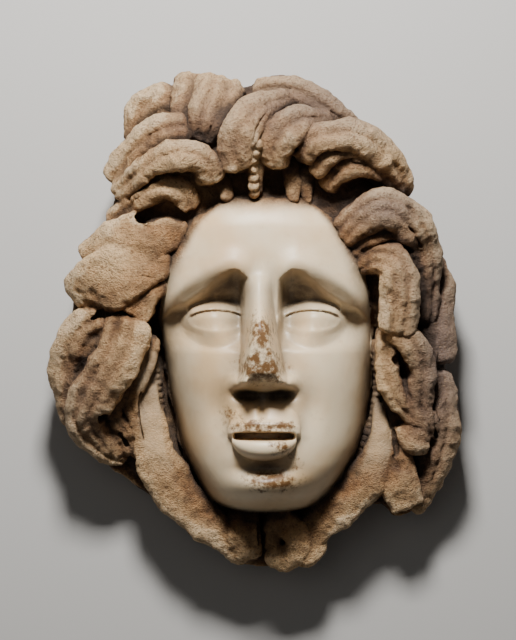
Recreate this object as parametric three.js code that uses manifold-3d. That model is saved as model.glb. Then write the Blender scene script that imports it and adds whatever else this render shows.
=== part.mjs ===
// A carved marble gorgon mask: an oval face in high relief, framed by loose hair and by two snakes
// whose bodies run down beside the jaw and are knotted under the chin. One block of stone.
// It lies on its flat back: +Z out of the face, +Y to the crown, the origin under the middle of it.
import * as THREE from 'three';
import { mergeVertices } from 'three/addons/utils/BufferGeometryUtils.js';
import Module from 'manifold-3d';

const wasm = await Module();
wasm.setup();

// Driving dimensions, in millimetres.
const MASK_HEIGHT = 280; // crown to the knot under the chin
const MASK_DEPTH = 100; // flat back to the ridge of the nose
const CHANNEL_HEIGHT = 28; // floor of the channel round the cheeks, above the back
const RIM_HEIGHT = 24; // broken edge of the block, above the back
const MOUTH_WIDTH = 35; // the dark slit between the lips
const MOUTH_GAP = 4; // height of that slit
const EYE_WIDTH = 32; // corner to corner
const EYE_GAP = 53; // middle of one eye to middle of the other

// The carving is laid out on a grid that has this many steps over the mask's height, counted from
// the middle of its outline, and its heights are hundredths of the mask's depth.
const GRID_ROWS = 495;
const step = MASK_HEIGHT / GRID_ROWS;
const rise = MASK_DEPTH / 100;

// How finely each kind of form is divided.
const FACE_COLUMNS = 36;
const FACE_LINES = 42;
const BED_SPOKES = 60;
const BED_RINGS = 3;
const LOCK_SIDES = 6;
const LOCK_RING_SPACING = 36; // grid steps from one ring of a lock to the next
const LOCK_ROOT = 20; // how far down the locks' undersides reach, in hundredths of the depth

const clamp = (v) => Math.min(1, Math.max(0, v));
const ease = (low, high, v) => {
  const t = clamp((v - low) / (high - low));
  return t * t * (3 - 2 * t);
};
const mix = (a, b, t) => a + (b - a) * t;
const hill = (offset, radius) => Math.exp(-((offset / radius) ** 2));

// A value read off a list of [place, value] pairs, on a smooth line that never overshoots them.
function along(pairs, at) {
  const end = pairs.length - 1;
  if (at <= pairs[0][0]) return pairs[0][1];
  if (at >= pairs[end][0]) return pairs[end][1];
  const slope = (i) => (pairs[i + 1][1] - pairs[i][1]) / (pairs[i + 1][0] - pairs[i][0]);
  const lean = (i) => {
    const product = i > 0 && i < end ? slope(i - 1) * slope(i) : 0;
    return product > 0 ? (2 * product) / (slope(i - 1) + slope(i)) : 0;
  };
  const i = pairs.findIndex(([place]) => at <= place) - 1;
  const gap = pairs[i + 1][0] - pairs[i][0];
  const t = (at - pairs[i][0]) / gap;
  const rest = 1 - t;
  const start = pairs[i][1] * (1 + 2 * t) + lean(i) * gap * t;
  const finish = pairs[i + 1][1] * (1 + 2 * rest) - lean(i + 1) * gap * rest;
  return start * rest ** 2 + finish * t ** 2;
}

// The nose, eyes and mouth stand on this line of the grid.
const MIDLINE = 6;
// The face's edges, left and right, by grid row: the jaw is a little fuller on the right.
const LEFT_EDGE = [
  [-193, -14], [-186, -36], [-175, -51], [-155, -62], [-120, -77], [-97, -82], [-57, -90], [-30, -94],
  [0, -97], [35, -94], [70, -81], [90, -68], [108, -50], [124, -30],
];
const RIGHT_EDGE = [
  [-193, 32], [-186, 55], [-175, 69], [-155, 85], [-120, 103], [-97, 108], [-57, 113], [-30, 114],
  [0, 112], [35, 108], [70, 95], [90, 82], [108, 64], [124, 44],
];
// Grid rows at which the face's lines lie closer or wider, by share of the lines from the chin up.
const LINE_ROWS = [[0, -193], [0.12, -160], [0.2, -134], [0.44, -88], [0.6, -22], [0.84, 50], [1, 124]];

// The face's profile down the middle, without the nose, lips and chin: [grid row, height].
const PROFILE = [
  [-193, 28], [-190, 44], [-183, 57], [-170, 67], [-140, 75], [-60, 76], [20, 76], [55, 79], [90, 78],
  [106, 75], [116, 70], [124, 64],
];
// Height of the face's own edge: down in the channel beside the cheeks, up in the hair over them.
const FACE_FOOT = [[-90, 28], [-50, 29], [-20, 35], [20, 50], [60, 62], [100, 64], [124, 62]];
const ROUNDNESS = 2.15; // 2 would make each level of the face an ellipse in section

// The brow: its lower edge, its crest, its fullness, and how sharply it turns in under the edge,
// all by distance from the midline, and the depth and the foot of the socket under it.
const BROW_EDGE = [
  [10, 38], [20, 45], [28, 50], [38, 47], [48, 40], [58, 31], [68, 24], [80, 18], [92, 12], [104, 4],
];
const BROW_CREST = [[16, 50], [30, 55], [75, 35], [100, 20]];
const BROW_ROUND = 13;
const BROW_FULLNESS = [[8, 0], [22, 3], [60, 4], [84, 6], [104, 2]];
const BROW_TURN = [[20, 0.6], [50, 0.9], [80, 1.6]];
const SOCKET_DEPTH = [[12, 0], [20, 14], [28, 17], [48, 12], [70, 9], [90, 6], [106, 1]];
const SOCKET_FOOT = -34;
// The eye: its row, how far the lids open over and under it, and the ball behind them.
const EYE = { row: 0, top: 10, bottom: 11, wide: 36, high: 20, under: 28, swell: 12, lid: 2.4, fold: 7 };
// The nose: height over the face by grid row, as first carved and as broken off, and half width.
const NOSE_HEIGHT = [
  [-76, -20], [-70, 4], [-64, 16], [-58, 28], [-50, 32], [-40, 32], [-8, 24], [14, 15], [36, 6], [56, -2],
];
const BREAK_HEIGHT = [[-70, 6], [-56, 19], [-50, 22], [-8, 24]];
const NOSE_HALF_WIDTH = [[-66, 31], [-50, 28], [-30, 24], [-10, 21], [20, 20], [40, 24], [56, 34]];
const NOSE_MIDDLE = [[-76, 5], [-30, 3], [20, 1]]; // the nose leans to the left on its way up
const NOSE_FOOT = 20; // how deep the nose's flanks reach into the face
const NOSE_JOIN = 3; // how softly the flanks run into the face
const WING = { side: 22, row: -62, wide: 8, high: 7, height: 11, foot: -69 };
const NOSTRIL = { side: 17, row: -74, wide: 11, high: 5, depth: 9 };
// Mouth, the groove over it, the cheeks and the chin.
const MOUTH = { row: -113.5, reach: 36, upper: 30, lower: 21, under: 32, swell: 9, pout: 11, slit: 15 };
const LIP_HOLLOW = { side: 0, row: -146, wide: 27, high: 8, depth: 6 };
const PHILTRUM = { side: -2, row: -88, wide: 3.5, high: 7, depth: 3 };
const CHEEKBONE = { side: 60, row: -50, wide: 34, high: 34, height: 3 };
const CHEEK_FOLD = { side: 44, row: -84, wide: 12, high: 26, depth: 3 };
const CHIN = { side: 0, row: -164, wide: 34, high: 17, height: 8 };

// 1 in the middle and 0 at the rim of a half ball.
const dome = (across, up) => Math.sqrt(clamp(1 - across ** 2 - up ** 2));
// The higher of two heights, with a soft crease between them.
function joined(a, b, soft) {
  const share = clamp(0.5 + (a - b) / (2 * soft));
  return mix(b, a, share) + soft * share * (1 - share);
}
// A soft round rise, by its place and half sizes.
const spot = (side, row, form) => hill(side - form.side, form.wide) * hill(row - form.row, form.high);

const eyeReach = EYE_WIDTH / 2 / step;
const eyeMiddle = EYE_GAP / 2 / step;
// How open the eye is at a distance from the midline: 1 in its middle, 0 at its corners.
const lidArc = (side) => dome((side - eyeMiddle) / eyeReach, 0);

// The ball of the eye with its lids, over the ground of the socket.
function eyeHeight(side, row) {
  const arc = lidArc(side);
  const over = row - EYE.row;
  const off = side - eyeMiddle;
  const ball = EYE.swell * dome(off / EYE.wide, over / (over < 0 ? EYE.under : EYE.high)) ** 2;
  const pastUpper = over - EYE.top * arc;
  const pastLower = -over - EYE.bottom * arc;
  const upper = ease(-1, 0.6, pastUpper) * (1 - ease(EYE.fold * 0.6, EYE.fold * 1.3, pastUpper));
  const lower = ease(-3, 0, pastLower) * (1 - ease(1, 7, pastLower));
  const ends = 1 - ease(eyeReach * 0.85, eyeReach * 1.2, Math.abs(off));
  return ball + EYE.lid * ends * (upper + 0.25 * lower);
}

// How far the ground of the eye socket lies behind the face.
function socketDrop(side, row) {
  const edge = along(BROW_EDGE, side);
  const crease = EYE.row + EYE.top * lidArc(side) + EYE.fold;
  const turn = clamp((edge - row) / Math.max(edge - crease, 6)) ** along(BROW_TURN, side);
  return along(SOCKET_DEPTH, side) * turn * ease(SOCKET_FOOT, EYE.row, row);
}

// Both lips and the slit between them, and the hollow under them.
function mouthHeight(x, row) {
  const over = row - MOUTH.row;
  const slitHalfWidth = MOUTH_WIDTH / 2 / step;
  const slitHalfHeight = MOUTH_GAP / 2 / step;
  const arc = dome(x / MOUTH.reach, 0);
  const up = clamp((over - slitHalfHeight) / (MOUTH.upper * arc ** 0.6 + 0.01));
  const upper = MOUTH.swell * arc ** 0.6 * ((1 - up) ** 0.7 + 0.12 * hill(up - 0.3, 0.1));
  const lowArc = dome(x / MOUTH.under, 0);
  const down = clamp((-over - slitHalfHeight) / (MOUTH.lower * lowArc + 0.01));
  const lower = MOUTH.pout * lowArc ** 0.6 * dome(0, 1.6 * down - 0.6);
  const lips = mix(lower, upper, ease(-slitHalfHeight, slitHalfHeight, over));
  const open = slitHalfHeight * dome(x / slitHalfWidth, 0) ** 0.3 + 0.01;
  const inSlit = ease(-0.5, 0.4, 1 - Math.abs(over) / open);
  const slit = inSlit * ease(0, 0.1, 1 - Math.abs(x) / slitHalfWidth);
  return lips - LIP_HOLLOW.depth * spot(x, row, LIP_HOLLOW) - MOUTH.slit * slit;
}

// Height of the face over the back, at a grid place, in hundredths of the depth.
function faceHeight(x, row) {
  const left = along(LEFT_EDGE, row);
  const right = along(RIGHT_EDGE, row);
  const off = clamp(Math.abs((2 * x - left - right) / (right - left)));
  const foot = along(FACE_FOOT, row);
  const base = foot + (along(PROFILE, row) - foot) * (1 - off ** ROUNDNESS) ** (1 / ROUNDNESS);

  const side = Math.abs(x - MIDLINE);
  const fullness = along(BROW_FULLNESS, side) * hill(row - along(BROW_CREST, side), BROW_ROUND);
  const bone = CHEEKBONE.height * spot(side, row, CHEEKBONE);
  const cheek = bone - CHEEK_FOLD.depth * spot(side, row, CHEEK_FOLD);
  const skin = base + fullness - socketDrop(side, row) + eyeHeight(side, row) + cheek
    + CHIN.height * spot(side, row, CHIN) + mouthHeight(x - MIDLINE, row);

  const share = clamp(Math.abs(x - along(NOSE_MIDDLE, row)) / along(NOSE_HALF_WIDTH, row));
  const carved = (along(NOSE_HEIGHT, row) + NOSE_FOOT) * (1 - share ** 2) ** 0.8 - NOSE_FOOT;
  const nose = base + Math.min(carved, along(BREAK_HEIGHT, row));
  const wing = WING.height * spot(side, row, WING) * ease(WING.foot - 2, WING.foot + 2, row);
  const nostril = NOSTRIL.depth * spot(side, row, NOSTRIL);
  const philtrum = PHILTRUM.depth * spot(x - MIDLINE, row, PHILTRUM);
  return joined(skin, nose, NOSE_JOIN) + wing - nostril - philtrum;
}

// A closed three.js geometry as a solid that can be joined and cut.
function solidOf(geometry) {
  geometry.deleteAttribute('normal');
  geometry.deleteAttribute('uv');
  const merged = mergeVertices(geometry, 1e-4);
  const made = new wasm.Manifold(new wasm.Mesh({
    numProp: 3,
    vertProperties: new Float32Array(merged.attributes.position.array),
    triVerts: new Uint32Array(merged.index.array),
  }));
  return made;
}

// Each vertex of a geometry goes where the function says.
function reshape(geometry, place) {
  const position = geometry.attributes.position;
  const point = new THREE.Vector3();
  for (let i = 0; i < position.count; i++) {
    point.fromBufferAttribute(position, i);
    const to = place(point);
    position.setXYZ(i, to.x, to.y, to.z);
  }
  return geometry;
}

const onGrid = (x, y, z) => new THREE.Vector3(x * step, y * step, z * rise);

// The face: a box of fine squares drawn out to its edges, raised by faceHeight and closed below.
function faceSolid() {
  const box = new THREE.BoxGeometry(2, 2, 2, FACE_COLUMNS, FACE_LINES, 1);
  const low = (CHANNEL_HEIGHT / rise) * 0.4;
  return solidOf(reshape(box, (p) => {
    const row = along(LINE_ROWS, (p.y + 1) / 2);
    const x = mix(along(LEFT_EDGE, row), along(RIGHT_EDGE, row), (p.x + 1) / 2);
    return onGrid(x, row, p.z < 0 ? low : faceHeight(x, row));
  }));
}

// The block behind the hair: its outline on the grid, clockwise from the crown.
const OUTLINE = [
  [8, 240], [26, 243], [50, 234], [78, 211], [98, 184], [126, 165], [142, 140], [158, 98], [172, 66],
  [184, 38], [182, 0], [186, -46], [190, -80], [194, -112], [184, -140], [174, -160], [160, -186],
  [138, -196], [124, -182], [98, -193], [66, -212], [52, -236], [28, -245], [-4, -245], [-28, -232],
  [-42, -214], [-76, -200], [-112, -172], [-140, -152], [-162, -130], [-184, -98], [-193, -60],
  [-184, -20], [-184, 6], [-176, 44], [-160, 80], [-146, 106], [-136, 140], [-116, 160], [-116, 196],
  [-92, 222], [-66, 240], [-48, 244], [-30, 232], [-8, 232],
];
// Heights of the bed between the locks, by grid row: next to the face, and at its crest.
const BED_BY_FACE = [[-200, 24], [-30, 28], [20, 50], [60, 60], [100, 63], [130, 63], [150, 66]];
const BED_CREST = [[-230, 28], [-150, 34], [-60, 46], [40, 58], [110, 64], [150, 70], [210, 58]];
const BED_EDGE = [[-100, 0], [120, 2], [220, 12]];

// Inside this ellipse the bed lies under the face.
const BED_HOLLOW = { x: 9, y: -20, half: { x: 104, y: 172 } };

// Height of the bed at a share of the way from the face's edge to the block's edge.
function bedHeight(y, share) {
  const edge = RIM_HEIGHT / rise + along(BED_EDGE, y);
  const crest = along(BED_CREST, y);
  if (share < 0.35) return mix(along(BED_BY_FACE, y), crest, ease(0.06, 0.35, share));
  return mix(crest, edge, ease(0.4, 1, share));
}

function bedSolid() {
  const curve = new THREE.CatmullRomCurve3(OUTLINE.map(([x, y]) => new THREE.Vector3(x, y, 0)), true);
  const profile = [];
  for (let ring = 0; ring <= BED_RINGS; ring++) profile.push(new THREE.Vector2(ring / BED_RINGS, 1));
  profile.push(new THREE.Vector2(1, 0), new THREE.Vector2(0, 0));
  const lathe = new THREE.LatheGeometry(profile, BED_SPOKES);
  const edge = new THREE.Vector3();
  const solid = solidOf(reshape(lathe, (p) => {
    const share = Math.hypot(p.x, p.z);
    const turn = (Math.atan2(p.x, p.z) / (2 * Math.PI) + 1) % 1;
    curve.getPoint(turn, edge);
    const { x: halfWidth, y: halfHeight } = BED_HOLLOW.half;
    const fromHollow = Math.hypot(
      (edge.x - BED_HOLLOW.x) / halfWidth,
      (edge.y - BED_HOLLOW.y) / halfHeight,
    );
    const inner = 1 / fromHollow;
    const out = share === 0 ? 0 : mix(inner * 0.9, 1, share);
    const x = mix(BED_HOLLOW.x, edge.x, out);
    const y = mix(BED_HOLLOW.y, edge.y, out);
    return onGrid(x, y, p.y === 0 ? 0 : bedHeight(y, clamp((out - inner) / (1 - inner))));
  }));
  return solid;
}

// A lock, snake or drill stroke: a sphere drawn out along a curve through grid points, with a half
// width in grid steps, the share of it left at each end, a thickness as a share of its width, and
// a tilt in degrees that raises its right edge, seen along the path.
// Where it has a root, its underside reaches down to that height and so into the block.
function stroke({ path, half, tips = [0.85, 0.7], thick = 0.55, tilt = 0, blunt = 0.09, root }) {
  const points = path.map(([x, y, z]) => onGrid(x, y, z));
  const curve = new THREE.CatmullRomCurve3(points, false, 'centripetal');
  const rings = Math.max(5, Math.round(curve.getLength() / step / LOCK_RING_SPACING) + 2);
  const sphere = new THREE.SphereGeometry(1, LOCK_SIDES, rings);
  const up = new THREE.Vector3(0, 0, 1);
  return solidOf(reshape(sphere, (p) => {
    const share = Math.acos(THREE.MathUtils.clamp(-p.y, -1, 1)) / Math.PI;
    const middle = curve.getPointAt(share);
    const tangent = curve.getTangentAt(share);
    const across = new THREE.Vector3().crossVectors(tangent, up).normalize();
    across.applyAxisAngle(tangent, THREE.MathUtils.degToRad(-tilt));
    const outward = new THREE.Vector3().crossVectors(across, tangent).normalize();
    const rising = mix(tips[0], 1, ease(0, 0.5, share));
    const falling = mix(1, tips[1], ease(0.5, 1, share));
    const belly = share < 0.5 ? rising : falling;
    const cap = Math.sqrt(clamp(1 - (1 - Math.min(share, 1 - share, blunt) / blunt) ** 2));
    const size = half * step * belly * cap;
    const ring = Math.hypot(p.x, p.z) || 1;
    middle.addScaledVector(across, (p.x / ring) * size);
    middle.addScaledVector(outward, (p.z / ring) * size * thick);
    if (root !== undefined) middle.z = mix(middle.z, root * rise, ease(0, 0.75, -p.z / ring));
    return middle;
  }));
}

// The locks of the hair, by where they grow: paths through [column, row, height].
const CROWN_LOCKS = {
  parting_left: {
    path: [[-18, 147, 78], [-21, 168, 84], [-15, 187, 86], [0, 204, 81], [30, 217, 68]],
    half: 18, tips: [0.9, 0.6], tilt: 8, blunt: 0.06,
  },
  parting_right: {
    path: [[17, 150, 78], [17, 166, 84], [23, 181, 87], [40, 192, 83], [70, 197, 70]],
    half: 18, tips: [0.7, 0.5], tilt: 14, blunt: 0.06,
  },
  fall_inner: {
    path: [[-36, 236, 54], [-43, 214, 66], [-50, 194, 71], [-56, 174, 68]],
    half: 22, tips: [1.1, 0.6], thick: 0.45,
  },
  fall_outer: {
    path: [[-62, 240, 46], [-68, 218, 57], [-70, 197, 63], [-71, 178, 63]],
    half: 17, tips: [1.1, 0.6], thick: 0.5,
  },
  crown_mass: {
    path: [[-6, 216, 58], [28, 214, 64], [56, 199, 65], [90, 178, 58]],
    half: 27, tips: [0.8, 0.8], thick: 0.4,
  },
};
const LEFT_LOCKS = {
  wing_stump: {
    path: [[-113, 178, 40], [-112, 202, 43], [-97, 214, 45], [-76, 206, 50]],
    half: 20, tips: [0.9, 0.8],
  },
  slab: {
    path: [[-66, 182, 70], [-94, 176, 68], [-118, 156, 60], [-136, 132, 50]],
    half: 26, tips: [0.9, 0.9], thick: 0.35, tilt: -12,
  },
  arch: {
    path: [
      [-46, 134, 76], [-50, 151, 83], [-64, 160, 85], [-86, 158, 82], [-110, 146, 72], [-138, 124, 52],
    ],
    half: 14, tips: [0.9, 0.9], tilt: -18,
  },
  arch_inner: {
    path: [
      [-68, 108, 66], [-75, 124, 72], [-92, 130, 73], [-109, 123, 67], [-125, 110, 58], [-142, 92, 46],
    ],
    half: 12, tips: [1, 1.1], tilt: -15,
  },
  temple_upper: {
    path: [[-70, 86, 65], [-102, 84, 67], [-136, 74, 64], [-164, 52, 52]],
    half: 26, tips: [0.6, 0.9], thick: 0.4, tilt: -6,
  },
  temple_lower: {
    path: [[-86, 60, 64], [-116, 54, 68], [-148, 38, 65], [-172, 16, 50]],
    half: 30, tips: [0.5, 0.9], thick: 0.4, tilt: -6,
  },
  cheek_root: {
    path: [[-96, 40, 62], [-110, 26, 65], [-124, 4, 64]],
    half: 14, tips: [0.8, 1.1], thick: 0.45,
  },
  cheek_long: {
    path: [
      [-126, 4, 63], [-134, -26, 64], [-148, -52, 61], [-165, -78, 54], [-171, -100, 47],
      [-157, -122, 40], [-130, -140, 33],
    ],
    half: 23, tips: [1, 0.5], thick: 0.45, tilt: -14,
  },
  cheek_outer: {
    path: [[-148, 0, 60], [-172, -16, 54], [-182, -42, 46], [-183, -74, 40], [-176, -104, 34]],
    half: 23, tips: [0.9, 0.7], thick: 0.45,
  },
  cheek_foot: {
    path: [[-160, -84, 42], [-148, -110, 40], [-132, -134, 35]],
    half: 18, tips: [0.8, 0.8], thick: 0.45,
  },
  jaw_strand: {
    path: [[-105, -16, 54], [-112, -48, 52], [-124, -70, 50], [-142, -84, 47]],
    half: 9, tips: [0.8, 0.8],
  },
  jaw_curl_outer: {
    path: [[-128, -64, 50], [-143, -86, 49], [-140, -100, 46], [-130, -112, 43], [-127, -134, 37]],
    half: 8, tips: [0.8, 0.9],
  },
  jaw_curl_inner: {
    path: [[-118, -56, 49], [-126, -84, 47], [-120, -100, 45], [-116, -118, 42], [-120, -138, 36]],
    half: 8, tips: [0.8, 0.9],
  },
};
const RIGHT_LOCKS = {
  arch: {
    path: [
      [42, 156, 77], [54, 175, 85], [76, 180, 87], [100, 177, 84], [122, 162, 75], [138, 142, 63],
      [145, 120, 50],
    ],
    half: 15, tips: [0.9, 0.7], tilt: 16,
  },
  arch_middle: {
    path: [[56, 142, 74], [66, 157, 81], [84, 165, 82], [104, 162, 79], [122, 147, 70], [137, 126, 57]],
    half: 9, tips: [0.8, 0.8], tilt: 12,
  },
  arch_inner: {
    path: [[68, 128, 68], [78, 143, 75], [95, 151, 77], [112, 148, 72], [126, 136, 63], [140, 114, 52]],
    half: 11, tips: [0.9, 0.8], tilt: 12,
  },
  brow_sweep: {
    path: [
      [80, 78, 66], [100, 99, 75], [124, 109, 80], [146, 98, 74], [160, 72, 63], [166, 38, 54],
      [166, -6, 46],
    ],
    half: 20, tips: [0.8, 0.6], thick: 0.5, tilt: 16,
  },
  brow_step: {
    path: [[86, 64, 65], [106, 78, 71], [128, 85, 72], [148, 77, 66], [158, 54, 58], [160, 10, 50]],
    half: 11, tips: [0.8, 0.6], tilt: 10,
  },
  temple_drop: {
    path: [[96, 52, 62], [116, 60, 71], [133, 54, 75], [139, 26, 72], [136, -14, 66]],
    half: 19, tips: [0.6, 0.9], thick: 0.5, tilt: 8,
  },
  twist_outer: {
    path: [
      [132, -6, 64], [153, -26, 62], [163, -48, 58], [162, -68, 54], [161, -88, 50], [168, -106, 46],
      [172, -120, 42],
    ],
    half: 13, tips: [1, 0.8], tilt: 8,
  },
  twist_inner: {
    path: [
      [127, -8, 62], [127, -40, 58], [130, -62, 56], [139, -82, 53], [152, -95, 49], [164, -102, 46],
    ],
    half: 11, tips: [0.9, 0.7], tilt: -8,
  },
  twist_core: { path: [[148, -58, 49], [151, -78, 50], [159, -95, 47]], half: 8, tips: [0.8, 0.8] },
  broken_tip: { path: [[142, -104, 44], [154, -117, 46], [171, -121, 43]], half: 15, tips: [0.8, 0.8] },
  back_upper: {
    path: [[172, 64, 36], [180, 36, 42], [178, 0, 43], [178, -44, 42]],
    half: 16, tips: [0.6, 1], thick: 0.5,
  },
  back_lower: {
    path: [[176, -50, 42], [180, -80, 42], [181, -112, 39], [174, -140, 33], [164, -168, 27]],
    half: 19, tips: [0.9, 0.9], thick: 0.45,
  },
};
const SNAKES_AND_KNOT = {
  snake_left: {
    path: [
      [-107, -40, 42], [-108, -70, 44], [-106, -104, 43], [-100, -138, 41], [-84, -168, 39],
      [-60, -194, 38], [-32, -218, 36], [-6, -238, 32],
    ],
    half: 22, tips: [0.25, 0.6], thick: 0.42,
  },
  snake_right: {
    path: [
      [119, -82, 42], [122, -108, 43], [118, -138, 41], [104, -162, 39], [82, -185, 38],
      [60, -205, 36], [38, -230, 33],
    ],
    half: 21, tips: [0.25, 0.6], thick: 0.42,
  },
  tail_strand: { path: [[139, -106, 45], [143, -130, 43], [150, -154, 39]], half: 9, tips: [0.8, 0.8] },
  tail_stump: {
    path: [[128, -134, 37], [140, -161, 38], [150, -188, 34]],
    half: 18, tips: [0.8, 0.9], blunt: 0.06,
  },
  tail_flank: { path: [[166, -146, 30], [161, -172, 28], [150, -186, 25]], half: 16, tips: [0.9, 0.8] },
  knot_strand: { path: [[-20, -192, 32], [-19, -214, 38], [-10, -236, 34]], half: 13, tips: [0.8, 0.8] },
  knot_inner: { path: [[-6, -192, 32], [-7, -214, 38], [-4, -238, 33]], half: 9, tips: [0.8, 0.8] },
  knot_loop: {
    path: [[8, -200, 35], [28, -205, 38], [40, -221, 38], [28, -238, 34], [10, -230, 36]],
    half: 13, tips: [0.9, 0.9],
  },
  knot_core: { path: [[8, -216, 34], [24, -220, 35]], half: 12, tips: [0.9, 0.9] },
  knot_end: { path: [[36, -238, 32], [50, -231, 34], [60, -216, 31]], half: 12, tips: [0.8, 0.8] },
};
const HAIRLINE_STRUTS = {
  strut_left: { path: [[-44, 158, 68], [-35, 138, 66], [-30, 118, 70]], half: 7, tips: [0.9, 0.6] },
  strut_middle: {
    path: [[-1, 122, 66], [-2, 152, 76], [2, 182, 82], [20, 206, 77]],
    half: 6, tips: [0.8, 0.6],
  },
  strut_right: { path: [[32, 160, 70], [33, 138, 68], [36, 114, 70]], half: 7, tips: [0.8, 0.6] },
  strut_far: { path: [[50, 152, 70], [46, 136, 66], [50, 112, 68]], half: 6, tips: [0.8, 0.6] },
};
// What the drill took out: pockets under the locks' ends and the dark slots between them.
const DRILL_CUTS = {
  recess_left: { path: [[-34, 135, 72], [-8, 138, 72]], half: 8, thick: 0.9 },
  recess_right: { path: [[8, 138, 72], [30, 137, 72]], half: 8, thick: 0.9 },
  pocket_left: { path: [[-66, 122, 76], [-44, 124, 74]], half: 7, thick: 1.2 },
  parting: { path: [[-7, 158, 92], [-2, 184, 93], [10, 203, 89], [32, 213, 78]], half: 3, thick: 2.2 },
  under_arch_left: {
    path: [[-56, 128, 80], [-66, 143, 80], [-84, 146, 80], [-104, 136, 72], [-128, 118, 60]],
    half: 4.5, thick: 2,
  },
  under_inner_left: {
    path: [[-70, 96, 72], [-88, 106, 70], [-108, 104, 66], [-124, 92, 60]],
    half: 9, thick: 1.6,
  },
  over_parting_right: { path: [[36, 162, 82], [46, 178, 80], [70, 188, 74]], half: 4, thick: 2 },
  under_arch_right: {
    path: [[82, 126, 68], [100, 136, 70], [116, 134, 68], [132, 118, 60]],
    half: 6, thick: 1.6,
  },
  under_brow_sweep: {
    path: [[98, 64, 74], [118, 74, 78], [136, 76, 76], [152, 66, 68]],
    half: 3.5, thick: 2.6,
  },
  right_of_face: { path: [[112, 38, 66], [115, 12, 54], [119, -20, 48]], half: 5, thick: 2.4 },
  left_of_face: { path: [[-101, 20, 62], [-99, -8, 52], [-99, -34, 44]], half: 4, thick: 2.6 },
  right_slot: { path: [[135, -106, 46], [138, -138, 44]], half: 4, thick: 2 },
  below_temple: { path: [[-186, -4, 48], [-164, 2, 58], [-146, 10, 64]], half: 5, thick: 1.4 },
  inside_cheek_curl: { path: [[-160, -98, 54], [-148, -92, 52]], half: 7, thick: 1.4 },
  inside_twist: { path: [[134, -34, 64], [147, -50, 60]], half: 7, thick: 1.6 },
  right_hole: { path: [[172, -48, 46], [186, -50, 44]], half: 4, thick: 1.6 },
  knot_groove: { path: [[1, -198, 38], [1, -228, 40]], half: 3, thick: 2 },
};

// The mask: bed, face and hair joined, drilled, and cut off flat at the back.
function maskSolid() {
  const groups = [CROWN_LOCKS, LEFT_LOCKS, RIGHT_LOCKS, SNAKES_AND_KNOT, HAIRLINE_STRUTS];
  const locks = groups.flatMap((group) => Object.values(group));
  const hair = locks.map((lock) => stroke({ root: LOCK_ROOT, ...lock }));
  const drilled = Object.values(DRILL_CUTS).map((cut) => stroke({ tips: [0.9, 0.9], ...cut }));
  const block = wasm.Manifold.union([bedSolid(), faceSolid(), ...hair]);
  const stone = block.subtract(wasm.Manifold.union(drilled));
  const under = new THREE.BoxGeometry(2 * MASK_HEIGHT, 2 * MASK_HEIGHT, MASK_DEPTH);
  return largestBody(stone.subtract(solidOf(under.translate(0, 0, -MASK_DEPTH / 2))));
}

// The stone without the crumbs that the drilling cuts loose and the bubbles shut in between locks.
function largestBody(solid) {
  const bodies = solid.decompose();
  return bodies.reduce((largest, body) => (body.volume() > largest.volume() ? body : largest));
}

function geometryOf(solid) {
  const { vertProperties, triVerts, numProp } = solid.getMesh();
  const positions = new THREE.BufferAttribute(vertProperties.slice(), numProp);
  const geometry = new THREE.BufferGeometry().setAttribute('position', positions);
  geometry.setIndex(new THREE.BufferAttribute(triVerts.slice(), 1));
  geometry.computeVertexNormals();
  return geometry;
}

const marble = new THREE.MeshStandardMaterial({ color: 0xd8c3a2, roughness: 0.5, metalness: 0 });
const mask = new THREE.Mesh(geometryOf(maskSolid()), marble);
mask.name = 'gorgon_mask';
const root = new THREE.Group();
root.add(mask);

export default root;
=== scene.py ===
"""A carved marble gorgon mask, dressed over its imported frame.

The mask lies on its flat back: +Z out of the face, +Y towards the crown, the origin under its middle.
The face is one height worked out from named sizes. The locks, the snakes and the knot are swept along
short paths. All of it is joined into one block, drilled, worn and coloured as old marble.
"""

import math

import bmesh
import bpy
import numpy as np
from bpy.props import FloatProperty, FloatVectorProperty, IntProperty, PointerProperty
from bpy.types import NodeSocket, Operator, Panel, PropertyGroup
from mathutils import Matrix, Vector, kdtree


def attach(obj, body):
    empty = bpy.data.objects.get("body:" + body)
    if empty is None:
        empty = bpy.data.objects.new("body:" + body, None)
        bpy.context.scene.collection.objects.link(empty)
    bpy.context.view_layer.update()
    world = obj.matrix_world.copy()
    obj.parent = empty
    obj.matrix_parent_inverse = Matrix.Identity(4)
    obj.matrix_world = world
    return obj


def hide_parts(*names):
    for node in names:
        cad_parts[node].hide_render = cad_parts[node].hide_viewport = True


bl_info = {
    "name": "Carved marble gorgon mask",
    "version": (1, 0, 0),
    "blender": (4, 5, 0),
    "location": "View3D > Sidebar > Gorgon Mask",
    "description": "Carves, drills and weathers a marble gorgon mask over its packed frame",
    "category": "Mesh",
}

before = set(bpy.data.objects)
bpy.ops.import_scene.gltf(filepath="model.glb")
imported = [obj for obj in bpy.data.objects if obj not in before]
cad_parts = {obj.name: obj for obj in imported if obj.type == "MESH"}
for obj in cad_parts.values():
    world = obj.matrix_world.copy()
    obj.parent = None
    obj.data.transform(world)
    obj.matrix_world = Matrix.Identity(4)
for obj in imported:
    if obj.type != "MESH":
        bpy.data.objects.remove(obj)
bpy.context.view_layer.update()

MM = 0.001
NODE = "gorgon_mask"

# Real sizes of the mask, in metres.
MASK_HEIGHT = 280 * MM
MASK_DEPTH = 100 * MM
CHANNEL_HEIGHT = 28 * MM
RIM_HEIGHT = 24 * MM
MOUTH_WIDTH = 35 * MM
MOUTH_GAP = 4 * MM
EYE_WIDTH = 32 * MM
EYE_GAP = 53 * MM

# The carving is laid out on a grid that has this many steps over the mask's height, counted from
# the middle of its outline, and its heights are hundredths of the mask's depth.
GRID_ROWS = 495
STEP = MASK_HEIGHT / GRID_ROWS
RISE = MASK_DEPTH / 100

# The nose, eyes and mouth stand on this line of the grid.
MIDLINE = 6
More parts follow.
